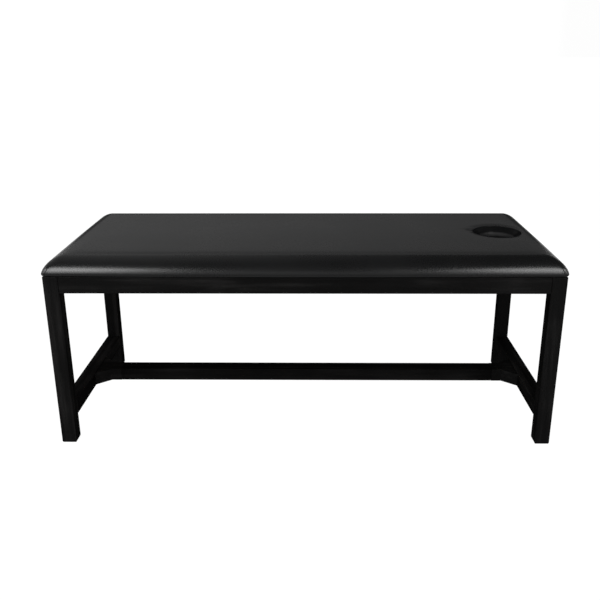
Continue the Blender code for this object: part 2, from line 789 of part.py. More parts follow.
def cushion_surface(rings, shrink):
    """The padding's outer surface as one grid: its top, rolled edge and lower lip.

    In a corner the rings keep the shape of a squarish superellipse, and each quad is split
    along its way out from the middle, so that the two rolls meet in a soft mitre."""
    ring_count = len(rings) - 1
    columns = FLAT_STEPS_ALONG + 2 * ring_count
    rows = FLAT_STEPS_ACROSS + 2 * ring_count
    bm = bmesh.new()
    bmesh.ops.create_grid(bm, x_segments=columns, y_segments=rows, size=1.0)
    for face in list(bm.faces):
        outwards = sorted(face.verts, key=lambda vert: abs(vert.co.x) + abs(vert.co.y))
        bmesh.utils.face_split(face, outwards[0], outwards[-1])
    for vert in bm.verts:
        column = round((vert.co.x + 1) / 2 * columns)
        row = round((vert.co.y + 1) / 2 * rows)
        ring_x, flat_x = split_index(column, FLAT_STEPS_ALONG, ring_count)
        ring_y, flat_y = split_index(row, FLAT_STEPS_ACROSS, ring_count)
        x, y = FLAT_X * flat_x, FLAT_Y * flat_y
        ring = max(abs(ring_x), abs(ring_y))
        roll_share, inset, rise_share, drop, corner_power = rings[ring]
        if ring:
            toward = [abs(ring_x) / ring, abs(ring_y) / ring]
            norm = sum(part**corner_power for part in toward) ** (1 / corner_power)
            end_reach = (END_ROLL - shrink) * roll_share - inset
            side_reach = (side_roll_at(x) - shrink) * roll_share - inset
            x += math.copysign(end_reach * toward[0] / norm, ring_x)
            y += math.copysign(side_reach * toward[1] / norm, ring_y)
        crown = CUSHION_CROWN * (1 - min(1.0, abs(y) / FLAT_Y) ** 2)
        rise = (CUSHION_TOP + crown - shrink - LIP_LEVEL) * rise_share
        vert.co = (x, y, LIP_LEVEL + rise - drop)
    return bm


def add_vinyl_cover(material):
    """The skin over the padding, turned under the board's edge, with a hole for the lining."""
    rings = edge_rings(0.0)
    rings.append((1.0, LIP_TUCK + VINYL_TURN_UNDER, 0.0, LIP_HEIGHT, CORNER_POWERS[1]))
    bm = cushion_surface(rings, 0.0)
    cover = add_object("vinyl_cover", mesh_from("vinyl_cover", bm), material)
    wall = cover.modifiers.new("wall", "SOLIDIFY")
    wall.thickness = VINYL_THICKNESS
    wall.offset = -1.0
    wall.use_even_offset = True
    depth = 2 * CUSHION_HEIGHT
    hole = add_rod("vinyl_cover_hole", FACE_RIM_RADIUS + CLEARANCE, depth, steps=HOLE_STEPS)
    hole.location = (FACE_HOLE_X, 0.0, CUSHION_TOP)
    combine(cover, hole)


def rim_curve(gap):
    """The face hole's rolled rim, a quarter of an ellipse from the top down into the throat."""
    points = []
    for step in range(RIM_STEPS + 1):
        angle = math.pi / 2 * step / RIM_STEPS
        radius = FACE_RIM_RADIUS - (FACE_RIM_WIDTH - gap) * math.sin(angle)
        drop = gap + (FACE_RIM_DEPTH - gap) * (1 - math.cos(angle))
        points.append((radius, FACE_RIM_TOP - drop))
    return points


def add_face_hole_lining(material):
    """The ring of vinyl that rolls down through the hole and turns under the board."""
    low, high = CUSHION_UNDERSIDE, CUSHION_UNDERSIDE + VINYL_THICKNESS
    turned_out = FACE_HOLE_RADIUS + FACE_LINING_TURN_UNDER
    profile = [
        *rim_curve(VINYL_THICKNESS),
        (FACE_HOLE_RADIUS + VINYL_THICKNESS, high),
        (turned_out, high),
        (turned_out, low),
        (FACE_HOLE_RADIUS, low),
        *reversed(rim_curve(0.0)),
    ]
    lining = add_turned("face_hole_lining", profile, material, HOLE_STEPS, closed=True)
    lining.location = (FACE_HOLE_X, 0.0, 0.0)


def add_foam_pad(material):
    """The padding under the vinyl, wrapped over the board's top and edges."""
    shrink = VINYL_THICKNESS + SOFT_CLEARANCE
    bm = cushion_surface(edge_rings(shrink), shrink)
    bmesh.ops.holes_fill(bm, edges=[edge for edge in bm.edges if edge.is_boundary], sides=0)
    foam = add_object("foam_pad", mesh_from("foam_pad", bm), material)
    reach_x, reach_y = (reach + SOFT_CLEARANCE for reach in board_reach())
    pocket = add_box(
        "foam_pad_board_pocket",
        (-reach_x, -reach_y, BOARD_UNDERSIDE - CUT_OVERRUN),
        (reach_x, reach_y, BOARD_TOP + CLEARANCE),
    )
    combine(foam, pocket)
    curve = rim_curve(VINYL_THICKNESS + SOFT_CLEARANCE)
    above = FACE_RIM_TOP + CUT_OVERRUN
    below = BOARD_UNDERSIDE - CUT_OVERRUN
    profile = [(0.0, above), (FACE_RIM_RADIUS, above), *curve, (curve[-1][0], below), (0.0, below)]
    funnel = add_turned("foam_pad_face_hole", profile, steps=HOLE_STEPS)
    funnel.location = (FACE_HOLE_X, 0.0, 0.0)
    combine(foam, funnel)


def settle(obj):
    """Applies a piece's modifiers and shades it smooth between its sharp edges."""
    evaluated = obj.evaluated_get(bpy.context.evaluated_depsgraph_get())
    mesh = bpy.data.meshes.new_from_object(evaluated)
    mesh.name = obj.name
    mesh.shade_smooth()
    mesh.set_sharp_from_angle(angle=SHARP_ANGLE)
    obj.modifiers.clear()
    obj.data = mesh


clear_scene()
parts = add_collection("massage_table")
cutters = add_collection("cutters", hidden=True)

timber = black_timber()
vinyl = black_vinyl()
steel = black_steel()
zinc = zinc_steel()
felt = black_felt()
hardwood = beech()

for side_of in SIDES:
    for end_of in ENDS:
        add_leg(side_of, end_of, timber)
        add_foot_pad(side_of, end_of, felt)
        add_corner_block(side_of, end_of, hardwood)
        add_hanger_bolt(side_of, end_of, zinc)
        add_hanger_nut(side_of, end_of, zinc)
        add_block_screws(side_of, end_of, zinc)
    add_end_apron(side_of, timber)
    add_end_stretcher(side_of, timber)
    add_gusset(side_of, timber)
    add_stretcher_bolt(side_of, steel)
    add_barrel_nut(side_of, zinc)
    add_seam_dowels(side_of, hardwood)
for end_of in ENDS:
    add_long_apron(end_of, timber)
add_long_stretcher(timber)
add_bearers(hardwood)
add_deck_screws(zinc)
add_deck_board(birch_plywood())
add_foam_pad(cream_foam())
add_vinyl_cover(vinyl)
add_face_hole_lining(vinyl)
for piece in parts.objects:
    settle(piece)
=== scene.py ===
import math
import time

import bpy
import numpy as np
from mathutils import Matrix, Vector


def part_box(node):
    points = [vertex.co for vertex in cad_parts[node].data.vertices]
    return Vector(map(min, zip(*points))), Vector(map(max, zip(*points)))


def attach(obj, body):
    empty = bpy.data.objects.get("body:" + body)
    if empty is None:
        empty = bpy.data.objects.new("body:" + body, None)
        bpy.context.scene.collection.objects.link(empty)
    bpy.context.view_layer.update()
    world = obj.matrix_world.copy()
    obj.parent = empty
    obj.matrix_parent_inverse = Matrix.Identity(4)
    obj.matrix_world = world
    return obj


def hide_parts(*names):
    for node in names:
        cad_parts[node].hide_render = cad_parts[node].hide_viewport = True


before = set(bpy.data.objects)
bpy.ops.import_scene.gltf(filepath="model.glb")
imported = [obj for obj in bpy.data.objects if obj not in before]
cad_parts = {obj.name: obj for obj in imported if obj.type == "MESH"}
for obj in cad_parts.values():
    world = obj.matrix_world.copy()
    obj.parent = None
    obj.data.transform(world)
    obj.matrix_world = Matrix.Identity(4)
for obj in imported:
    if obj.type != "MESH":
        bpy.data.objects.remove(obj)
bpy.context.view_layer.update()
tau = 2 * math.pi


def boxOf(node):        # a node's lowest and highest corners, without its mesh's rounding
    return [[round(c, 5) for c in corner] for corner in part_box(node)]


coverLow, coverHigh = boxOf("vinyl_cover")
liningLow, liningHigh = boxOf("face_hole_lining")
boardHigh = boxOf("deck_board")[1]

# the camera that took the photo
shot = {
    "lens": 44.607, "sensor": 36.0, "shiftX": -0.01217,     # mm; the shift is a share of the sensor
    "place": (0.0466, -2.8725, 1.4521),
    "yaw": 0.800, "pitch": 19.321, "roll": -0.194,      # degrees; pitch looks down
}


def addObject(name, data):
    thing = bpy.data.objects.new(name, data)
    bpy.context.scene.collection.objects.link(thing)
    return thing


def setPlace(thing, across, up, back, place):
    rows = np.eye(4)
    rows[:3, 0], rows[:3, 1], rows[:3, 2], rows[:3, 3] = across, up, back, place
    thing.matrix_world = Matrix(rows.tolist())


def turned(first, second, degrees):     # the pair of axes turned towards each other by an angle
    c, s = math.cos(math.radians(degrees)), math.sin(math.radians(degrees))
    return first * c + second * s, second * c - first * s


def addCamera():
    yaw = math.radians(shot["yaw"])
    level = np.array([-math.sin(yaw), math.cos(yaw), 0.0])
    across = np.array([level[1], -level[0], 0.0])
    ahead, up = turned(level, np.array([0.0, 0.0, 1.0]), -shot["pitch"])
    across, up = turned(across, up, shot["roll"])
    lens = bpy.data.cameras.new("photoCamera")
    lens.sensor_width, lens.lens, lens.shift_x = shot["sensor"], shot["lens"], shot["shiftX"]
    camera = addObject("photoCamera", lens)
    setPlace(camera, across, up, -ahead, shot["place"])
    bpy.context.scene.camera = camera


addCamera()
print("camera in place")


class Nodes:
    # a small writer of node trees; an input takes a number, a colour, a socket or a node's first output
    def __init__(self, tree):
        self.tree = tree
        tree.nodes.clear()

    def add(self, kind, inputs=None, **settings):
        node = self.tree.nodes.new("ShaderNode" + kind)
        for name, value in settings.items():
            setattr(node, name, value)
        for name, value in (inputs or {}).items():
            self.put(node.inputs[name], value)
        return node

    def put(self, socket, value):
        if isinstance(value, bpy.types.NodeSocket):
            self.tree.links.new(value, socket)
        elif isinstance(value, bpy.types.Node):
            self.tree.links.new(value.outputs[0], socket)
        else:
            socket.default_value = value

    def calc(self, kind, a, b=0.0):
        return self.add("Math", {0: a, 1: b}, operation=kind).outputs[0]

    def weighted(self, a, shareA, b, shareB):
        return self.calc("ADD", self.calc("MULTIPLY", a, shareA), self.calc("MULTIPLY", b, shareB))

    def span(self, value, low, high, toLow, toHigh, smooth=False):
        # a range of values moved to another range, straight or eased at both ends
        return self.add("MapRange", {0: value, 1: low, 2: high, 3: toLow, 4: toHigh},
                        interpolation_type="SMOOTHSTEP" if smooth else "LINEAR").outputs[0]

    def ramp(self, fac, stops):
        node = self.add("ValToRGB", {"Fac": fac})
        ends = node.color_ramp.elements
        while len(ends) < len(stops):
            ends.new(0.5)
        for end, (place, shade) in zip(ends, stops):
            end.position = place
            end.color = (*shade, 1.0) if isinstance(shade, tuple) else (shade, shade, shade, 1.0)
        return node.outputs[0]

    def mixed(self, share, first, second):
        return self.add("Mix", {"Factor": share, 6: first, 7: second}, data_type="RGBA").outputs[2]

    def place(self):
        return self.add("TexCoord").outputs["Object"]

    def noise(self, place, scale, detail, roughness=0.5, distortion=0.0, output="Fac"):
        # the scale is one number, or three where the noise is stretched
        if not isinstance(scale, float):
            place, scale = self.add("Mapping", {"Vector": place, "Scale": scale}), 1.0
        return self.add("TexNoise", {"Vector": place, "Scale": scale, "Detail": detail,
                                     "Roughness": roughness, "Distortion": distortion}).outputs[output]

    def facing(self):       # 0 face on, 1 edge on
        return self.add("LayerWeight", {"Blend": 0.5}).outputs["Facing"]

    def bump(self, strength, distance, height):
        return self.add("Bump", {"Strength": strength, "Distance": distance, "Height": height})

    def skin(self, inputs, keptGloss=None):
        # the shader and its output; the kept gloss is what stays where the specular level's link is dropped
        skin = self.add("BsdfPrincipled", inputs)
        if keptGloss is not None:
            skin.inputs["Specular IOR Level"].default_value = keptGloss
        self.add("OutputMaterial", {"Surface": skin})


def newMaterial(name):
    material = bpy.data.materials.new(name)
    material.use_nodes = True
    return material, Nodes(material.node_tree)


def tint(shade, cast=(1.0, 1.0, 1.0)):
    return tuple(shade * c for c in cast)


def stretched(across, along, axis):     # noise scales: one across an axis and another along it
    return [along if way == axis else across for way in range(3)]


# the sky: a pale band over the horizon, dark above it, and a soft window high up on the left
sky = {
    "white": 0.985, "left": 2.0, "leftX": 0.3,      # the band's level, and its level on the left
    "dark": 0.12, "lean": 1.24, "leanX": 0.75,      # the dark part is brighter to the left
    "whiteTo": 17.0, "darkFrom": 44.0,      # degrees above the horizon, behind the table
    "frontStretch": 1.25, "frontY": 0.6,        # heights count for more in front, so the band is lower there
    "sideStretch": 0.4, "sideX": (0.65, 0.92),      # and for less at the sides, where it is higher
    "windowWay": (-0.62, 0.30, 0.73), "windowFrom": 0.66, "windowGlow": 0.68,
}


def addWorld():
    world = bpy.data.worlds.new("studioWorld")
    bpy.context.scene.world = world
    world.use_nodes = True
    n = Nodes(world.node_tree)
    around = n.add("TexCoord").outputs["Generated"]
    x, y, z = n.add("SeparateXYZ", {0: around}).outputs
    front = n.span(y, -sky["frontY"], sky["frontY"], sky["frontStretch"], 1.0)
    side = n.span(n.calc("ABSOLUTE", x), *sky["sideX"], 1.0, sky["sideStretch"])
    height = n.calc("MULTIPLY", n.calc("MULTIPLY", z, front), side)
    lean = sky["leanX"] * sky["lean"]
    dark = n.calc("MULTIPLY", n.span(x, -sky["leanX"], sky["leanX"], 1 + lean, 1 - lean), sky["dark"])
    white = n.span(x, -sky["leftX"], sky["leftX"], sky["left"], sky["white"])
    low, high = (math.sin(math.radians(sky[border])) for border in ("whiteTo", "darkFrom"))
    level = n.span(height, low, high, white, dark, smooth=True)
    towards = n.add("VectorMath", {0: around, 1: sky["windowWay"]}, operation="DOT_PRODUCT").outputs["Value"]
    window = n.span(towards, sky["windowFrom"], 1.0, 0.0, sky["windowGlow"], smooth=True)
    glow = n.add("Background", {"Color": (1, 1, 1, 1), "Strength": n.calc("ADD", level, window)})
    n.add("OutputWorld", {"Surface": glow})


floor = {"reach": 60.0, "tone": 0.62, "paintShare": 0.12, "glow": 1.108}


def addFloor():
    material, n = newMaterial("paleFloor")
    path = n.add("LightPath").outputs
    seen = n.calc("MAXIMUM", path["Is Camera Ray"],
                  n.calc("MAXIMUM", path["Is Glossy Ray"], path["Is Transmission Ray"]))
    paint = n.add("BsdfDiffuse", {"Color": (*tint(floor["tone"]), 1)})
    glow = n.add("Emission", {"Color": (1, 1, 1, 1), "Strength": floor["glow"]})
    share = n.calc("MULTIPLY", seen, 1 - floor["paintShare"])       # the paint's share shows the shadow
    n.add("OutputMaterial", {"Surface": n.add("MixShader", {0: share, 1: paint, 2: glow})})
    reach = floor["reach"]
    corners = [(-reach, -reach, 0), (reach, -reach, 0), (reach, reach, 0), (-reach, reach, 0)]
    mesh = bpy.data.meshes.new("paleFloor")
    mesh.from_pydata(corners, [], [(0, 1, 2, 3)])
    ground = addObject("paleFloor", mesh)
    mesh.materials.append(material)


boxSpread = 60.0        # degrees
boxes = {       # places and aims on the right, which the left mirrors; heights and powers are (left, right)
    "softbox": {"place": (1.87, -2.80), "height": (1.87, 1.82), "aim": (0.70, -0.30, 0.55),
                "size": (0.82, 1.70), "power": (12.8, 11.2)},
    "lowBox": {"place": (1.87, -2.80), "height": (0.80, 0.80), "aim": (0.70, -0.30, 0.62),
               "size": (0.82, 1.10), "power": (0.85, 1.45)},
    "backBox": {"place": (2.50, 2.10), "height": (0.45, 0.45), "aim": (0.50, 0.10, 0.36),
                "size": (1.40, 0.66), "power": (6.0, 6.0)},     # lower than the top, which mirrors none of it
}


def addSoftbox(name, box, pick):
    side = (-1, 1)[pick]
    lamp = bpy.data.lights.new(name, "AREA")
    lamp.shape, lamp.size, lamp.size_y = "RECTANGLE", *box["size"]
    lamp.energy, lamp.spread = box["power"][pick], math.radians(boxSpread)
    start = np.array([side * box["place"][0], box["place"][1], box["height"][pick]])
    end = np.array([side * box["aim"][0], *box["aim"][1:]])
    back = (start - end) / np.linalg.norm(start - end)
    across = np.cross([0.0, 0.0, 1.0], back)
    across /= np.linalg.norm(across)
    thing = addObject(name, lamp)
    setPlace(thing, across, np.cross(back, across), back, start)
    thing.visible_camera = False


addWorld()
addFloor()
for pick, end in enumerate(("Left", "Right")):
    for name, box in boxes.items():
        addSoftbox(name + end, box, pick)
print("studio lit")

stain = {
    "dark": 0.0012, "middle": 1.8, "light": 0.0066,     # the middle shade is that many times the dark one
    "cast": (1.0, 0.97, 0.96), "stops": (0.38, 0.50, 0.64),
    "streaks": (34.0, 1.6), "pores": (520.0, 26.0), "cloud": 5.0, "streakShare": 0.70,
    "pore": (0.0016, 0.0015, 0.0015), "poreFrom": (0.52, 0.66), "poreShare": 0.6,
    "rough": (0.46, 0.62), "relief": (0.6, -0.5), "bump": (0.5, 0.0006),
    "gloss": 0.025, "grazing": (0.25, 0.58), "grazingShare": 0.005,
}


def stainedTimber(axis, tone=1.0):
    # black stain over open-grained timber: long streaks and short pores that follow one axis; a tone under 1
    # makes a darker, duller copy, which is painted shade for pieces that sit in shade
    material, n = newMaterial("blackStain" + "XYZ"[axis] + ("" if tone == 1 else "Deep"))
    place = n.place()
    streaks = n.noise(place, stretched(*stain["streaks"], axis), 7.0, 0.62, 0.4)
    pores = n.noise(place, stretched(*stain["pores"], axis), 3.0)
    cloud = n.noise(place, stain["cloud"], 2.0)
    pit = n.span(pores, *stain["poreFrom"], 0.0, 1.0)
    grain = n.weighted(streaks, stain["streakShare"], cloud, 1 - stain["streakShare"])
    cast = tint(tone, stain["cast"])
    levels = stain["dark"], stain["dark"] * stain["middle"], stain["light"]
    shade = n.ramp(grain, [(stop, tint(level, cast)) for stop, level in zip(stain["stops"], levels)])
    shade = n.mixed(n.calc("MULTIPLY", pit, stain["poreShare"]), shade, (*stain["pore"], 1))
    relief = n.weighted(streaks, stain["relief"][0], pit, stain["relief"][1])
    # a shaded copy (tone under 1) is also less glossy, as part of its painted shade
    gloss = stain["gloss"] * (0.5 + 0.5 * tone)
    sheen = n.span(n.facing(), *stain["grazing"], gloss, gloss * stain["grazingShare"], smooth=True)
    n.skin({"Base Color": shade, "Roughness": n.span(grain, 0.3, 0.7, *stain["rough"]),
            "Normal": n.bump(*stain["bump"], relief), "Specular IOR Level": sheen}, gloss)
    return material


vinylLook = {
    "dark": 0.0032, "light": 0.0046, "cast": (0.98, 1.0, 1.03),
    "drift": 3.2, "folds": 190.0, "bend": 260.0, "bendReach": 0.0012, "grainSize": 0.0011,
    "relief": (-0.8, 0.6), "bump": (0.17, 0.00005),
    "glances": ((0.46, 1.0), (0.56, 0.34), (0.66, 0.040), (0.72, 0.0265), (0.765, 0.0185),
                (0.79, 0.012), (0.85, 0.001)),      # the gloss's share from face on to edge on
}
coverLook = {       # heights are metres over the cushion's top, with the gloss's share there
    "gloss": 0.195, "rough": (0.25, 0.31),
    "byHeight": ((-0.075, 0.46), (-0.058, 0.55), (-0.046, 1.0), (0.005, 1.0)),      # dull at the roll's foot
}
liningLook = {
    "gloss": 0.31, "rough": (0.46, 0.54),
    # a shiny band round the throat
    "byHeight": ((-0.041, 0.03), (-0.035, 0.7), (-0.030, 1.0), (-0.026, 0.85), (-0.0215, 0.03)),
}


def blackVinyl(name, look):
    # leather-look vinyl: small cushions of grain between fine valleys, and a slow drift of tone and sheen
    material, n = newMaterial(name)
    place = n.place()
    bend = n.noise(place, vinylLook["bend"], 2.0, output="Color")
    shift = n.add("VectorMath", {0: bend, "Scale": vinylLook["bendReach"]}, operation="SCALE")
    bent = n.add("VectorMath", {0: place, 1: shift}, operation="ADD")
    cells = n.add("TexVoronoi", {"Vector": bent, "Scale": 1 / vinylLook["grainSize"]},
                  feature="SMOOTH_F1").outputs["Distance"]
    folds = n.noise(place, vinylLook["folds"], 4.0)
    drift = n.noise(place, vinylLook["drift"], 3.0)
    dark, light = (tint(vinylLook[level], vinylLook["cast"]) for level in ("dark", "light"))
    shade = n.ramp(drift, [(0.35, dark), (0.65, light)])
    rough = n.span(n.weighted(drift, 0.6, folds, 0.4), 0.3, 0.7, *look["rough"])
    relief = n.weighted(cells, vinylLook["relief"][0], folds, vinylLook["relief"][1])
    # the grain breaks up the mirror look at a grazing angle
    sheen = n.calc("MULTIPLY", n.ramp(n.facing(), vinylLook["glances"]), look["gloss"])
    low, high = look["byHeight"][0][0], look["byHeight"][-1][0]
    top = coverHigh[2]
    up = n.span(n.add("SeparateXYZ", {0: place}).outputs["Z"], top + low, top + high, 0.0, 1.0)
    shares = n.ramp(up, [((level - low) / (high - low), share) for level, share in look["byHeight"]])
    n.skin({"Base Color": shade, "Roughness": rough, "Normal": n.bump(*vinylLook["bump"], relief),
            "Specular IOR Level": n.calc("MULTIPLY", sheen, shares)}, look["gloss"])
    return material


bareTimber = {
    "rings": (14.0, 0.9), "fleck": (300.0, 12.0), "ringShare": 0.7, "stops": (0.35, 0.62),
    "rough": (0.5, 0.7), "bump": (0.3, 0.0004), "ply": 0.0030, "plyShare": 0.55, "plyShade": 0.5,
    "birch": ((0.50, 0.36, 0.20), (0.66, 0.51, 0.32)), "beech": ((0.46, 0.27, 0.14), (0.60, 0.38, 0.22)),
}


def plainTimber(name, axis, shades, layered=False):
    # bare timber: soft rings stretched along one axis, with plies by height where it is plywood
    material, n = newMaterial(name)
    place = n.place()
    rings = n.noise(place, stretched(*bareTimber["rings"], axis), 6.0, 0.55, 0.8)
    fleck = n.noise(place, stretched(*bareTimber["fleck"], axis), 2.0)
    grain = n.weighted(rings, bareTimber["ringShare"], fleck, 1 - bareTimber["ringShare"])
    shade = n.ramp(grain, list(zip(bareTimber["stops"], shades)))
    if layered:
        up = n.add("SeparateXYZ", {0: place}).outputs["Z"]
        ply = n.span(n.calc("SINE", n.calc("MULTIPLY", up, tau / bareTimber["ply"])), -0.2, 0.2,
                     0.0, bareTimber["plyShare"])
        tilt = n.add("SeparateXYZ", {0: n.add("NewGeometry").outputs["Normal"]}).outputs["Z"]
        edge = n.calc("LESS_THAN", n.calc("ABSOLUTE", tilt), 0.5)
        shade = n.mixed(n.calc("MULTIPLY", edge, ply), shade, (*tint(bareTimber["plyShade"], shades[0]), 1))
    n.skin({"Base Color": shade, "Roughness": n.span(grain, 0.3, 0.7, *bareTimber["rough"]),
            "Normal": n.bump(*bareTimber["bump"], grain)})
    return material


steelLook = {"mottle": 420.0, "dim": 0.82, "scratch": (300.0, 3000.0), "bump": (0.2, 0.00005)}
blackPlate = {"shade": (0.030, 0.030, 0.032), "rough": (0.36, 0.50), "metal": 0.6}
zincPlate = {"shade": (0.62, 0.64, 0.67), "rough": (0.24, 0.38), "metal": 1.0}


def steel(name, plate):
    # turned steel: fine scratches and a soft mottle in the plating
    material, n = newMaterial(name)
    place = n.place()
    mottle = n.noise(place, steelLook["mottle"], 4.0)
    scratch = n.noise(place, stretched(*steelLook["scratch"], 0), 2.0)
    dim = tint(steelLook["dim"], plate["shade"])
    n.skin({"Base Color": n.ramp(mottle, [(0.35, dim), (0.65, plate["shade"])]), "Metallic": plate["metal"],
            "Roughness": n.span(mottle, 0.3, 0.7, *plate["rough"]),
            "Normal": n.bump(*steelLook["bump"], scratch)})
    return material


feltLook = {"fibre": 1400.0, "shades": (0.006, 0.022), "rough": 0.95, "gloss": 0.1, "bump": (0.8, 0.0003)}


def felt():
    material, n = newMaterial("blackFelt")
    fibre = n.noise(n.place(), feltLook["fibre"], 4.0, 0.7)
    n.skin({"Base Color": n.ramp(fibre, list(zip((0.3, 0.7), feltLook["shades"]))),
            "Roughness": feltLook["rough"], "Specular IOR Level": feltLook["gloss"],
            "Normal": n.bump(*feltLook["bump"], fibre)})
    return material


foamLook = {
    "cells": 900.0, "cloud": 22.0, "shades": ((0.66, 0.57, 0.38), (0.78, 0.70, 0.50)),
    "rough": 0.9, "bump": (0.7, 0.0005),
}


def openFoam():
    material, n = newMaterial("creamFoam")
    place = n.place()
    cells = n.add("TexVoronoi", {"Vector": place, "Scale": foamLook["cells"]}).outputs["Distance"]
    cloud = n.noise(place, foamLook["cloud"], 3.0)
    n.skin({"Base Color": n.ramp(cloud, list(zip((0.3, 0.7), foamLook["shades"]))),
            "Roughness": foamLook["rough"], "Normal": n.bump(*foamLook["bump"], cells)})
    return material


stainX, stainY, stainZ = (stainedTimber(axis) for axis in range(3))
# darker, duller copies of the stain: painted shade on the rear legs and the long stretcher, which sit in
# shade
shadedStainX, shadedStainZ = stainedTimber(0, 0.5), stainedTimber(2, 0.6)
vinyl = blackVinyl("blackVinyl", coverLook)
liningVinyl = blackVinyl("blackVinylLining", liningLook)
birch = plainTimber("birchPlywood", 0, bareTimber["birch"], layered=True)
beech = plainTimber("beechAlong", 0, bareTimber["beech"])
blackSteel, zincSteel = steel("blackSteel", blackPlate), steel("zincSteel", zincPlate)
padFelt = felt()
foam = openFoam()

finishes = [       # the first beginning that fits a node's name gives its finish
    ("leg_rear", shadedStainZ), ("leg_", stainZ),
    ("apron_front", stainX), ("apron_rear", stainX), ("apron_", stainY),
    ("end_stretcher", stainY), ("long_stretcher", shadedStainX), ("gusset", stainX),
    ("bearer", stainY), ("corner_block", beech), ("seam_dowel", beech), ("deck_board", birch),
    ("stretcher_bolt", blackSteel), ("barrel_nut", zincSteel), ("hanger", zincSteel),
    ("block_screw", zincSteel), ("deck_screw", zincSteel), ("foot_pad", padFelt), ("foam_pad", foam),
]
for name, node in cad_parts.items():
    for start, material in finishes:
        if name.startswith(start):
            node.data.materials.clear()
            node.data.materials.append(material)
            break
print("frame finished:", len(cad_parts), "nodes")


def gridPiece(name, points, material, looped=False):
    # a grid of points (rows, columns, 3) as quads; the last column meets the first, and so do looped rows
    rowCount, columnCount = points.shape[:2]
    index = np.arange(rowCount * columnCount).reshape(rowCount, columnCount)
    here, below = (index, np.roll(index, -1, axis=0)) if looped else (index[:-1], index[1:])
    quads = np.stack([here, below, np.roll(below, -1, axis=1), np.roll(here, -1, axis=1)], axis=-1)
    mesh = bpy.data.meshes.new(name)
    mesh.vertices.add(rowCount * columnCount)
    mesh.vertices.foreach_set("co", points.reshape(-1).astype(np.float32))
    mesh.loops.add(quads.size)
    mesh.loops.foreach_set("vertex_index", quads.reshape(-1).astype(np.int32))
    mesh.polygons.add(quads.size // 4)
    mesh.polygons.foreach_set("loop_start", np.arange(0, quads.size, 4, dtype=np.int32))
    mesh.polygons.foreach_set("use_smooth", np.ones(quads.size // 4, bool))
    mesh.update(calc_edges=True)
    mesh.validate()
    mesh.materials.append(material)
    return addObject(name, mesh)


tiny = 1e-12        # keeps a division from meeting zero


def unit(vectors):
    return vectors / np.maximum(np.linalg.norm(vectors, axis=-1, keepdims=True), tiny)


def gridNormals(points):
    # the outward way at each grid point: the step to the next row crossed with the step to the next column
    down = np.gradient(points, axis=0)
    along = np.roll(points, -1, axis=1) - np.roll(points, 1, axis=1)
    return unit(np.cross(down, along))


def gridRow(x, y, z):       # z may be one number for the whole row
    return np.stack([x, y, z + 0 * x], axis=-1)


def smoothStep(value, low, high):
    t = np.clip((value - low) / (high - low), 0, 1)
    return t * t * (3 - 2 * t)


def ridge(value, width):
    return np.exp(-((value / width) ** 2))


# the face hole: a funnel from the rim, where the cover is drawn down, to the throat
hole = {
    "x": (liningLow[0] + liningHigh[0]) / 2, "rim": liningHigh[1], "throat": 0.072, "depth": 0.027,
    "dip": 0.0030, "dipReach": 0.010,
}
hole["top"] = coverHigh[2] - hole["dip"]


def roundHole(radius, bearing):
    return hole["x"] + radius * np.cos(bearing), radius * np.sin(bearing)


def outOfHole(points):
    return np.hypot(points[..., 0] - hole["x"], points[..., 1])


def funnel(turn, slim):
    # a quarter ellipse from the rim, at no turn, down to the throat; slim is how much smaller it is
    radius = hole["rim"] - (hole["rim"] - hole["throat"] - slim) * np.sin(turn)
    height = hole["top"] - slim - (hole["depth"] - slim) * (1 - np.cos(turn))
    return radius, height


# the cushion's outer form, shared by the vinyl cover and the foam in it: a flat top with a rolled edge and,
# under that, a small lip; metres and degrees
cushion = {
    "endRoll": 0.081, "sideRoll": 0.060, "sideBulge": 0.008, "bulgePowers": (2.4, 1.5),
    "crown": 0.002, "lipDrop": 0.010, "lipTuck": 0.009,
    "rollPower": 1.7, "cornerPowers": (4.0, 14.0),      # the corners are rounder at the top than at the foot
    "longColumns": 108, "endColumns": 40, "cornerColumns": 46, "mitreBunch": 0.55,
    "topRows": 62, "joinAngle": 30.0, "rollRows": 24, "lipRows": 5,
    "bunchFrom": 0.05, "bunchRate": 0.65, "bunchRange": (0.05, 2.2),
}
cushion["flatX"] = coverHigh[0] - cushion["endRoll"]        # half sizes of the flat top
cushion["flatY"] = coverHigh[1] - cushion["sideRoll"] - cushion["sideBulge"]
cushion["top"] = coverHigh[2] - cushion["crown"]
cushion["lipLevel"] = coverLow[2] + cushion["lipDrop"]


def outlineColumns():
    # one column of the grid starts at each place: a foot on the flat top's edge and a way out from it.
    # Along a side the foot moves and the way stays; in a corner the foot stays and the way swings round
    flatX, flatY, bunch = cushion["flatX"], cushion["flatY"], cushion["mitreBunch"]
    turn = np.linspace(-1, 1, cushion["cornerColumns"] + 2)
    swing = 0.5 + 0.5 * ((1 - bunch) * turn + bunch * turn**3)       # closer together along the mitre
    swings = [np.minimum(1, 2 - 2 * swing), np.minimum(1, 2 * swing)]
    ends = np.linspace(-1, 1, cushion["endColumns"] + 2)[1:-1] * flatY
    sides = np.linspace(1, -1, cushion["longColumns"] + 2)[1:-1] * flatX
    parts = []
    for quarter, spots in enumerate((ends, sides, -ends, -sides)):
        wayX, wayY = ((1, 0), (0, 1), (-1, 0), (0, -1))[quarter]
        still = 0 * spots
        foot = (still + flatX * wayX, spots) if wayX else (spots, still + flatY * wayY)
        parts.append(np.stack([*foot, still + wayX, still + wayY]))
        signX, signY = ((1, 1), (-1, 1), (-1, -1), (1, -1))[quarter]
        swingX, swingY = swings if quarter % 2 == 0 else swings[::-1]
        still = 0 * swing
        parts.append(np.stack([still + flatX * signX, still + flatY * signY, signX * swingX, signY * swingY]))
    return np.concatenate(parts, axis=1)


def sideRollAt(x):
    # the long sides' roll: widest at mid-length, drawn in towards the corners
    share = np.minimum(1, np.abs(x) / cushion["flatX"])
    inner, outer = cushion["bulgePowers"]
    return cushion["sideRoll"] + cushion["sideBulge"] * (1 - share**inner) ** outer


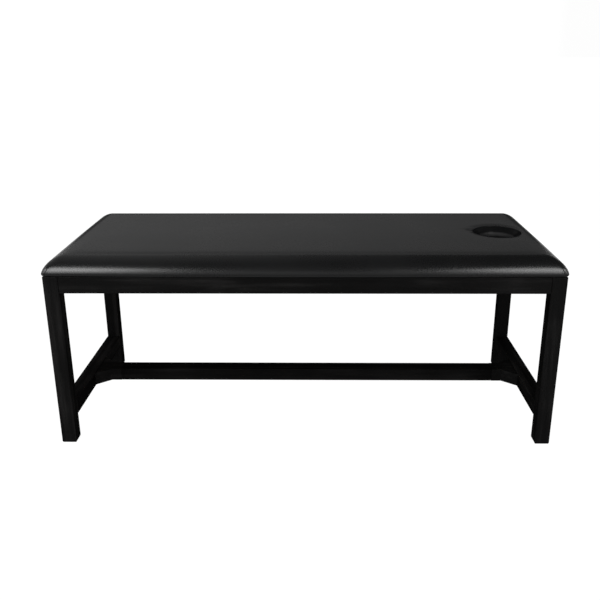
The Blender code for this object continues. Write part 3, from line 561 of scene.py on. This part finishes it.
def rollShares(degrees):
    # how far out and how far up the rolled edge is, of its whole reach and height: a superellipse
    turn, power = np.radians(degrees), 2 / cushion["rollPower"]
    return np.sin(turn) ** power, np.clip(np.cos(turn), 0, 1) ** power


def cornerNorm(x, y, power):
    return (np.abs(x) ** power + np.abs(y) ** power) ** (1 / power)


def cornerPowerAt(degrees):
    first, last = cushion["cornerPowers"]
    return first + (last - first) * (degrees / 90) ** 3


def ringAt(columns, outShare, inset, power, slim):
    # a ring's plan: each foot, moved out along its way, which a norm of that power rounds in the corners
    footX, footY, wayX, wayY = columns
    norm = cornerNorm(wayX, wayY, power)
    x = footX + wayX / norm * ((cushion["endRoll"] - slim) * outShare - inset)
    y = footY + wayY / norm * ((sideRollAt(footX) - slim) * outShare - inset)
    return x, y


def heightAt(y, riseShare, slim):
    crown = cushion["crown"] * (1 - np.minimum(1, np.abs(y) / cushion["flatY"]) ** 2)
    return cushion["lipLevel"] + (cushion["top"] + crown - slim - cushion["lipLevel"]) * riseShare


def pastFlat(x, y):     # how far a place is past the flat top's edge, each way
    return np.maximum(np.abs(x) - cushion["flatX"], 0), np.maximum(np.abs(y) - cushion["flatY"], 0)


def onFlat(x, y):       # the nearest place on the flat top
    return (np.clip(x, -cushion["flatX"], cushion["flatX"]),
            np.clip(y, -cushion["flatY"], cushion["flatY"]))


def topHeight(x, y, power, slim):
    # the height over a plan point: flat inside, and past the flat top's edge the superellipse falls away
    pastX, pastY = pastFlat(x, y)
    norm = cornerNorm(pastX / (cushion["endRoll"] - slim), pastY / (sideRollAt(x) - slim), power)
    rollPower = cushion["rollPower"]
    return heightAt(y, (1 - np.minimum(1, norm) ** rollPower) ** (1 / rollPower), slim)


def cushionSurface(columns, slim, rimRadius):
    # rows of points from the face hole's rim out over the top, down the roll and round the lip
    count = columns.shape[1]
    join = cushion["joinAngle"]
    outX, outY = ringAt(columns, rollShares(join)[0], 0.0, cornerPowerAt(join), slim)
    seen = np.unwrap(np.arctan2(outY, outX - hole["x"]))
    bearing = 0.5 * seen + 0.5 * (seen[0] + tau * np.arange(count) / count)
    rimX, rimY = roundHole(rimRadius, bearing)
    steps = np.linspace(0, 1, cushion["topRows"] + 1)[:, None]
    length = np.hypot(outX - rimX, outY - rimY)
    pull = np.clip(np.log(length / cushion["bunchFrom"]) * cushion["bunchRate"], *cushion["bunchRange"])
    share = 0.5 + 0.5 * np.tanh(pull * (2 * steps - 1)) / np.tanh(pull)     # short steps at both ends
    x, y = rimX + (outX - rimX) * share, rimY + (outY - rimY) * share
    top = gridRow(x, y, topHeight(x, y, cornerPowerAt(join), slim))
    rows = []
    for degrees in np.linspace(join, 90, cushion["rollRows"] + 1)[1:]:
        outShare, riseShare = rollShares(degrees)
        x, y = ringAt(columns, outShare, 0.0, cornerPowerAt(degrees), slim)
        rows.append(gridRow(x, y, heightAt(y, riseShare, slim)))
    for turn in np.linspace(0, math.pi / 2, cushion["lipRows"] + 1)[1:]:
        inset = cushion["lipTuck"] * (1 - math.cos(turn))
        x, y = ringAt(columns, 1.0, inset, cushion["cornerPowers"][1], slim)
        rows.append(gridRow(x, y, cushion["lipLevel"] - (cushion["lipDrop"] - slim) * math.sin(turn)))
    return np.concatenate([top, np.stack(rows)], axis=0), bearing


def rollDegrees(rows):
    # how far round the roll each row of the cushion's grid is; the lip and what follows count as 90
    degrees = np.full(rows, 90.0)
    top, roll = cushion["topRows"], cushion["rollRows"]
    degrees[: top + 1] = np.linspace(0, cushion["joinAngle"], top + 1)
    degrees[top : top + roll + 1] = np.linspace(cushion["joinAngle"], 90, roll + 1)
    return degrees


# the vinyl cover: a cloth blown up against its stitches and staples, then creased
cover = {
    "rimGap": 0.0003, "thick": 0.0015, "turnUnder": 0.035, "underRows": 4,
    "netStep": 0.011, "startIn": 0.0008, "frames": 20, "pressure": 4.0,
    "firm": 0.19, "firmEdge": 0.08, "firmWidth": 0.012, "holdSteps": 50,
    "cap": 0.0017, "soften": 0.0003, "seamEase": 0.012,
    "mitre": 0.0029, "mitreWidth": 0.0023, "mitreFrom": (38.0, 74.0), "mitreSpan": 0.86,
    "standUp": 0.0009, "standUpAt": 0.0055, "standUpWidth": 0.0045,
    "tucks": ((-0.021, 0.0009), (-0.0125, 0.0014), (0.014, 0.0013), (0.024, 0.0008)),
    "tuckWidth": 0.0022, "tuckFrom": (62.0, 88.0),      # each tuck is a distance from the mitre and a depth
    "puckers": (        # bearing, depth, degrees wide, reach
        (163, 0.0032, 8, 0.040), (186, 0.0010, 5, 0.028), (140, 0.0009, 4, 0.024), (9, 0.0032, 7, 0.038),
        (-31, -0.0012, 10, 0.036), (-54, 0.0006, 3, 0.018), (30, 0.0012, 4, 0.028), (54, 0.0006, 3, 0.020),
        (212, -0.0006, 8, 0.026), (236, 0.0006, 3, 0.018)),
    "puckerSpread": (0.6, 0.5), "puckerFall": 1.6, "puckerFrom": 0.004,
}
cover["rim"] = hole["rim"] + cover["rimGap"]


def rollLengths():
    # each half degree round the long sides' roll, and the length of the way down to it
    degrees = np.linspace(0, 90, 181)
    outShare, riseShare = rollShares(degrees)
    out = outShare * (cushion["sideRoll"] + cushion["sideBulge"])
    up = riseShare * (cushion["top"] - cushion["lipLevel"])
    return degrees, np.append(0, np.cumsum(np.hypot(np.diff(out), np.diff(up))))


def netPoints(u, v):
    # a flat net folded over the cushion: a knot past the flat top's edge goes that far down the roll
    degrees, length = rollLengths()
    pastX, pastY = pastFlat(u, v)
    past = np.maximum(pastX, pastY)
    turn = np.interp(past, length, degrees)
    outShare, riseShare = rollShares(turn)
    wayX, wayY = (reach / np.maximum(past, tiny) for reach in (pastX, pastY))
    norm = np.maximum(cornerNorm(wayX, wayY, cornerPowerAt(turn)), tiny)
    footX, footY = onFlat(u, v)
    x = footX + np.sign(u) * wayX / norm * cushion["endRoll"] * outShare
    y = footY + np.sign(v) * wayY / norm * sideRollAt(footX) * outShare
    return gridRow(x, y, heightAt(y, riseShare, 0.0))


def onNet(points, columns, degrees):
    # where the cover's own grid points lie on that net
    table, length = rollLengths()
    top = cushion["topRows"] + 1
    x, y = points[:top, :, 0], points[:top, :, 1]
    pastX, pastY = pastFlat(x, y)
    shares = pastX / cushion["endRoll"], pastY / sideRollAt(x)
    turns = (np.degrees(np.arcsin(np.minimum(1, share) ** (cushion["rollPower"] / 2))) for share in shares)
    reachX, reachY = (np.interp(turn, table, length) for turn in turns)
    footX, footY = onFlat(x, y)
    along = np.interp(degrees[top:], table, length)[:, None]
    u = np.concatenate([footX + np.sign(x) * reachX, columns[0] + columns[2] * along])
    v = np.concatenate([footY + np.sign(y) * reachY, columns[1] + columns[3] * along])
    return u, v


def readNet(field, u, v, step, halfU, halfV):
    # the field between the net's knots, half straight and half eased along both ways
    inside = 1.001      # a little more than one knot, so that there is always a next one
    atU = np.clip((u + halfU) / step[0], 0, field.shape[0] - inside)
    atV = np.clip((v + halfV) / step[1], 0, field.shape[1] - inside)
    i, j = atU.astype(int), atV.astype(int)
    partU, partV = (0.5 * part + 0.5 * smoothStep(part, 0, 1) for part in (atU - i, atV - j))
    near = field[i, j] * (1 - partV) + field[i, j + 1] * partV
    far = field[i + 1, j] * (1 - partV) + field[i + 1, j + 1] * partV
    return near * (1 - partU) + far * partU


def blownUp(points, held):
    # the net as a cloth with air under it: fast where held is 1, and freer where it is less
    rowCount, columnCount = points.shape[:2]
    index = np.arange(rowCount * columnCount).reshape(rowCount, columnCount)
    quads = np.stack([index[:-1, :-1], index[1:, :-1], index[1:, 1:], index[:-1, 1:]], axis=-1)
    mesh = bpy.data.meshes.new("clothTrial")
    mesh.from_pydata(points.reshape(-1, 3), [], quads.reshape(-1, 4))
    trial = addObject("clothTrial", mesh)
    group = trial.vertex_groups.new(name="held")
    level = np.round(held.reshape(-1) * cover["holdSteps"]).astype(int)
    for step in np.unique(level[level > 0]):
        group.add(np.flatnonzero(level == step).tolist(), float(step) / cover["holdSteps"], "REPLACE")
    rig = trial.modifiers.new("cloth", "CLOTH")
    rig.settings.use_pressure = True
    rig.settings.uniform_pressure_force = cover["pressure"]
    rig.settings.vertex_group_mass = "held"
    rig.settings.effector_weights.gravity = 0
    rig.collision_settings.use_collision = False
    rig.point_cache.frame_start, rig.point_cache.frame_end = 1, cover["frames"]
    for step in range(1, cover["frames"] + 1):
        bpy.context.scene.frame_set(step)
    shape = trial.evaluated_get(bpy.context.evaluated_depsgraph_get()).data
    found = np.empty(points.size, np.float32)
    shape.vertices.foreach_get("co", found)
    bpy.data.objects.remove(trial)
    bpy.context.scene.frame_set(1)
    return found.astype(float).reshape(points.shape)


def swellOf(points, columns):
    # how far the cloth swells out at each point of the cover's grid
    started = time.time()
    reach = rollLengths()[1][-1]
    halves = cushion["flatX"] + reach, cushion["flatY"] + reach
    knots = [int(round(2 * half / cover["netStep"])) + 1 for half in halves]
    step = [2 * half / (count - 1) for half, count in zip(halves, knots)]
    lines = [np.linspace(-half, half, count) for half, count in zip(halves, knots)]
    u, v = np.meshgrid(*lines, indexing="ij")
    net = netPoints(u, v)
    outward = unit(np.cross(np.gradient(net, axis=0), np.gradient(net, axis=1)))
    sewn = np.hypot(u - hole["x"], v) < cover["rim"] + 0.5 * cover["netStep"]
    sewn[[0, -1]] = sewn[:, [0, -1]] = True
    edge = np.maximum(np.abs(u) - cushion["flatX"], np.abs(v) - cushion["flatY"])
    held = cover["firm"] + cover["firmEdge"] * ridge(edge, cover["firmWidth"])      # firmer along the border
    start = net - outward * cover["startIn"] * ~sewn[..., None]
    move = blownUp(start, np.where(sewn, 1.0, held)) - start
    swell = (move * outward).sum(axis=-1) - cover["startIn"]
    soften = cover["soften"]
    swell = 0.5 * (swell + np.sqrt(swell**2 + soften**2) - soften)      # the foam stops it going in
    swell = cover["cap"] * np.tanh(swell / cover["cap"]) * ~sewn
    print("cloth: %.1f s, swells up to %.2f mm, middle %.2f mm"
          % (time.time() - started, swell.max() * 1e3, np.median(swell) * 1e3))
    onU, onV = onNet(points, columns, rollDegrees(len(points)))
    loose = smoothStep(outOfHole(points), cover["rim"], cover["rim"] + cover["seamEase"])
    loose[cushion["topRows"] + cushion["rollRows"] :] = 0
    return readNet(swell, onU, onV, step, *halves) * loose


def creaseDepth(points, columns, bearing):
    # how far in each point of the cushion's grid is drawn: mitres and tucks in the corners, and a dip and
    # puckers round the hole
    degrees = rollDegrees(len(points))[:, None]
    fade = smoothStep(degrees, *cover["mitreFrom"])
    fromMitre = (np.abs(columns[3]) - np.abs(columns[2]))[None] * (cushion["endRoll"] * cover["mitreSpan"])
    depth = cover["mitre"] * ridge(fromMitre, cover["mitreWidth"]) * fade
    # the vinyl stands up beside the fold
    depth = depth - cover["standUp"] * ridge(fromMitre - cover["standUpAt"], cover["standUpWidth"]) * fade
    for place, deep in cover["tucks"]:
        shape = ridge(fromMitre - place, cover["tuckWidth"]) * smoothStep(degrees, *cover["tuckFrom"])
        depth = depth + deep * shape
    out = outOfHole(points) - cover["rim"]
    away = np.clip(out, 0, None)
    depth = depth + hole["dip"] * np.exp(-away / hole["dipReach"])
    base, flare = cover["puckerSpread"]
    for aim, deep, wide, reach in cover["puckers"]:
        swing = (np.degrees(bearing)[None] - aim + 180) % 360 - 180
        shape = ridge(swing, wide * (base + flare * out / reach)) * smoothStep(out, 0.0, cover["puckerFrom"])
        depth = depth + deep * shape * np.exp(-away / reach * cover["puckerFall"])
    return depth


def turnedUnder(columns):
    # the vinyl's border, flat under the board's edge, where it is stapled
    rows = []
    for step in range(1, cover["underRows"] + 1):
        inset = cushion["lipTuck"] + cover["turnUnder"] * step / cover["underRows"]
        x, y = ringAt(columns, 1.0, inset, cushion["cornerPowers"][1], 0.0)
        rows.append(gridRow(x, y, cushion["lipLevel"] - cushion["lipDrop"]))
    return np.stack(rows)


columns = outlineColumns()
coverPoints, bearing = cushionSurface(columns, 0.0, cover["rim"])
coverPoints = np.concatenate([coverPoints, turnedUnder(columns)], axis=0)
coverPoints = coverPoints + gridNormals(coverPoints) * swellOf(coverPoints, columns)[..., None]
coverPoints = coverPoints - gridNormals(coverPoints) * creaseDepth(coverPoints, columns, bearing)[..., None]
coverPiece = gridPiece("cushionCover", coverPoints, vinyl)
wall = coverPiece.modifiers.new("wall", "SOLIDIFY")
wall.thickness, wall.offset = cover["thick"], -1
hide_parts("vinyl_cover")
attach(coverPiece, "root")
print("cover:", coverPoints.shape)

# the foam under it: the same form a little slimmer, with a pocket for the board and a funnel for the hole
filling = {
    "slim": 0.002, "sideGap": 0.0005, "topGap": 0.0003, "cornerPower": 40.0,
    "wallRows": 5, "ceilingRows": 14, "throatRows": 5, "rimRows": 12,
}


def foamSurface():
    # the outer form, then up the pocket's wall, in along its ceiling, and up the throat to the hole's rim
    slim = filling["slim"]
    outer, bearing = cushionSurface(columns, slim, hole["rim"])
    outer = outer - gridNormals(outer) * creaseDepth(outer, columns, bearing)[..., None]
    footX, footY, wayX, wayY = columns
    norm = cornerNorm(wayX, wayY, filling["cornerPower"])
    edgeX = footX + wayX / norm * (boardHigh[0] + filling["sideGap"] - cushion["flatX"])
    edgeY = footY + wayY / norm * (boardHigh[1] + filling["sideGap"] - cushion["flatY"])
    low, ceiling = outer[-1, 0, 2], boardHigh[2] + filling["topGap"]
    rows = [gridRow(edgeX, edgeY, low + (ceiling - low) * step / filling["wallRows"])
            for step in range(filling["wallRows"] + 1)]
    throatX, throatY = roundHole(hole["throat"] + slim, bearing)
    for step in range(1, filling["ceilingRows"] + 1):
        t = step / filling["ceilingRows"]
        rows.append(gridRow(edgeX + (throatX - edgeX) * t, edgeY + (throatY - edgeY) * t, ceiling))
    for height in np.linspace(ceiling, hole["top"] - hole["depth"], filling["throatRows"] + 1)[1:]:
        rows.append(gridRow(throatX, throatY, height))
    for turn in np.linspace(math.pi / 2, 0, filling["rimRows"] + 1)[1:-1]:
        radius, height = funnel(turn, slim)
        rows.append(gridRow(*roundHole(radius, bearing), height))
    return np.concatenate([outer, np.stack(rows)], axis=0)


foamPoints = foamSurface()
foamPiece = gridPiece("cushionFoam", foamPoints, foam, looped=True)
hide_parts("foam_pad")
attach(foamPiece, "root")
print("foam:", foamPoints.shape)

# the lining of the face hole, sewn to the cover round the rim
lining = {
    "turnOut": 0.022, "thick": 0.0015, "seam": 0.0011, "seamWidth": 0.0013,
    "columns": 288, "rimRows": 26, "rimBunch": 1.3, "throatRows": 12, "outRows": 5,
}


def liningSurface():
    # a profile turned about the hole's axis: down the funnel into the throat, straight down, then out
    turn = np.linspace(0, 1, lining["rimRows"] + 1) ** lining["rimBunch"] * (math.pi / 2)
    radius, height = funnel(turn, 0.0)
    height -= lining["seam"] * ridge(hole["rim"] - radius, lining["seamWidth"])     # down at the stitches
    down = np.linspace(0, 1, lining["throatRows"] + 1)[1:]
    radius = np.append(radius, hole["throat"] + 0 * down)
    height = np.append(height, height[-1] + (liningLow[2] - height[-1]) * down)
    out = np.linspace(0, 1, lining["outRows"] + 1)[1:]
    radius = np.append(radius, hole["throat"] + lining["turnOut"] * out)
    height = np.append(height, liningLow[2] + 0 * out)
    bearing = tau * np.arange(lining["columns"]) / lining["columns"]
    return gridRow(*roundHole(radius[:, None], bearing), height[:, None])[::-1]


liningPoints = liningSurface()
liningPiece = gridPiece("faceHoleLining", liningPoints, liningVinyl)
wall = liningPiece.modifiers.new("wall", "SOLIDIFY")
wall.thickness, wall.offset = lining["thick"], -1
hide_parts("face_hole_lining")
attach(liningPiece, "root")
print("lining:", liningPoints.shape)

bpy.context.scene.view_settings.view_transform = "Standard"
bpy.context.view_layer.update()
